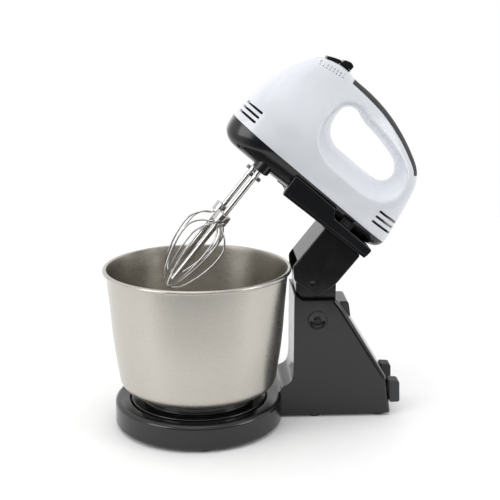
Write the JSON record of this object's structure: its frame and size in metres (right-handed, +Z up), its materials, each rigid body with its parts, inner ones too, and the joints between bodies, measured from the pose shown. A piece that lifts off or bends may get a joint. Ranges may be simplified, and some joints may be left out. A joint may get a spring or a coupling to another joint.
{
  "type": "stand mixer",
  "caption": "Stand mixer shown with its head tilted back: a two-whisk hand mixer in a cradle on a hinged arm, over a steel bowl on a free turntable",
  "frame": {"origin": "under the middle of the whole object's box with the head raised, on the surface it stands on", "axes": "+Z up; +X from the bowl towards the tower's back; the near side, where the speed markings are read, faces -Y; the bowl axis is at X -0.061, Y 0"},
  "size_m": [0.2992, 0.1778, 0.3483],
  "materials": {
    "gloss_black": "glossy black moulded ABS",
    "satin_charcoal": "semi-gloss charcoal moulded ABS",
    "gloss_white": "glossy cool white moulded ABS",
    "soft_rubber": "matt soft-touch rubber",
    "brushed_bowl": "spun stainless steel, brushed round the axis",
    "chromed_steel": "bright chrome plate",
    "plain_steel": "plain machined steel",
    "copper_wire": "varnished copper wire",
    "nylon": "natural nylon, satin",
    "bronze": "sintered bronze, matt"
  },
  "bodies": {
    "stand": {"stand_shell": "gloss_black", "base_cover": "gloss_black", "foot_1": "soft_rubber", "foot_2": "soft_rubber", "foot_3": "soft_rubber", "foot_4": "soft_rubber", "foot_5": "soft_rubber", "foot_6": "soft_rubber", "foot_7": "soft_rubber", "foot_8": "soft_rubber", "foot_9": "soft_rubber", "turntable_spindle": "plain_steel", "neck_block": "gloss_black", "tilt_pin": "plain_steel", "side_cap_near": "gloss_black", "side_cap_far": "gloss_black", "side_screw_near": "plain_steel", "side_screw_far": "plain_steel", "rear_rest_near": "soft_rubber", "rear_rest_far": "soft_rubber", "tilt_release_spring": "plain_steel"},
    "tilt_button": {"tilt_release_button": "gloss_black"},
    "turntable": {"turntable": "gloss_black"},
    "bowl": {"bowl": "brushed_bowl", "bowl_foot_ring": "soft_rubber"},
    "head": {"arm_shell": "gloss_black", "cradle": "gloss_black", "cradle_screw_1": "plain_steel", "cradle_screw_2": "plain_steel"},
    "release_tab": {"mixer_release_tab": "gloss_black"},
    "mixer": {"upper_housing": "gloss_white", "lower_housing": "satin_charcoal", "grip_strip": "soft_rubber", "cord_inlet_bush": "soft_rubber", "motor_stator": "plain_steel", "motor_winding": "copper_wire", "bearing_front": "bronze", "bearing_rear": "bronze", "spindle_bush_near": "bronze", "spindle_bush_far": "bronze", "speed_switch": "nylon"},
    "rotor": {"motor_rotor": "plain_steel", "motor_fan": "nylon"},
    "spindle_near": {"spindle_gear_near": "nylon"},
    "spindle_far": {"spindle_gear_far": "nylon"},
    "whisk_near": {"whisk_shaft_near": "chromed_steel", "whisk_sleeve_near": "chromed_steel", "whisk_wires_near": "chromed_steel"},
    "whisk_far": {"whisk_shaft_far": "chromed_steel", "whisk_sleeve_far": "chromed_steel", "whisk_wires_far": "chromed_steel"},
    "selector": {"speed_shutter": "satin_charcoal"},
    "knob": {"speed_knob": "satin_charcoal"}
  },
  "joints": [
    {"name": "head_tilt", "type": "hinge", "parent": "stand", "child": "head", "pos_m": [0.06179, 0.028, 0.1435], "axis": [0, 1, 0], "range_deg": [-38.5, 0]},
    {"name": "tilt_release_press", "type": "slide", "parent": "stand", "child": "tilt_button", "axis": [-1, 0, 0], "range_m": [0, 0.0015], "stiffness_N_per_m": 300, "springref_m": -0.001},
    {"name": "turntable_spin", "type": "hinge", "parent": "stand", "child": "turntable", "pos_m": [-0.06071, 0, 0.02], "axis": [0, 0, 1], "continuous": true},
    {"name": "bowl_lift", "type": "slide", "parent": "turntable", "child": "bowl", "axis": [0, 0, 1], "range_m": [0, 0.045]},
    {"name": "mixer_lift", "type": "slide", "parent": "head", "child": "mixer", "axis": [0.6225, 0, 0.7826], "range_m": [0, 0.06]},
    {"name": "mixer_release_press", "type": "slide", "parent": "head", "child": "release_tab", "axis": [0, 1, 0], "range_m": [0, 0.0012], "stiffness_N_per_m": 300, "springref_m": -0.001},
    {"name": "rotor_spin", "type": "hinge", "parent": "mixer", "child": "rotor", "pos_m": [0.05841, 0.028, 0.23563], "axis": [0.7826, 0, -0.6225], "continuous": true},
    {"name": "whisk_spin_near", "type": "hinge", "parent": "mixer", "child": "spindle_near", "pos_m": [0.01771, 0.005, 0.268], "axis": [0.6225, 0, 0.7826], "continuous": true},
    {"name": "whisk_spin_far", "type": "hinge", "parent": "mixer", "child": "spindle_far", "pos_m": [0.01771, 0.051, 0.268], "axis": [0.6225, 0, 0.7826], "continuous": true},
    {"name": "whisk_pull_near", "type": "slide", "parent": "spindle_near", "child": "whisk_near", "axis": [-0.6225, 0, -0.7826], "range_m": [0, 0.025]},
    {"name": "whisk_pull_far", "type": "slide", "parent": "spindle_far", "child": "whisk_far", "axis": [-0.6225, 0, -0.7826], "range_m": [0, 0.025]},
    {"name": "speed_select", "type": "hinge", "parent": "mixer", "child": "selector", "pos_m": [0.04715, 0.028, 0.29698], "axis": [0, -1, 0], "range_deg": [0, 23]},
    {"name": "eject_press", "type": "slide", "parent": "selector", "child": "knob", "axis": [-0.6225, 0, -0.7826], "range_m": [0, 0.0012], "stiffness_N_per_m": 400, "springref_m": -0.001}
  ],
  "couplings": [
    {"joint": "whisk_spin_near", "follows": "rotor_spin", "ratio": 0.083333},
    {"joint": "whisk_spin_far", "follows": "rotor_spin", "ratio": -0.083333}
  ]
}
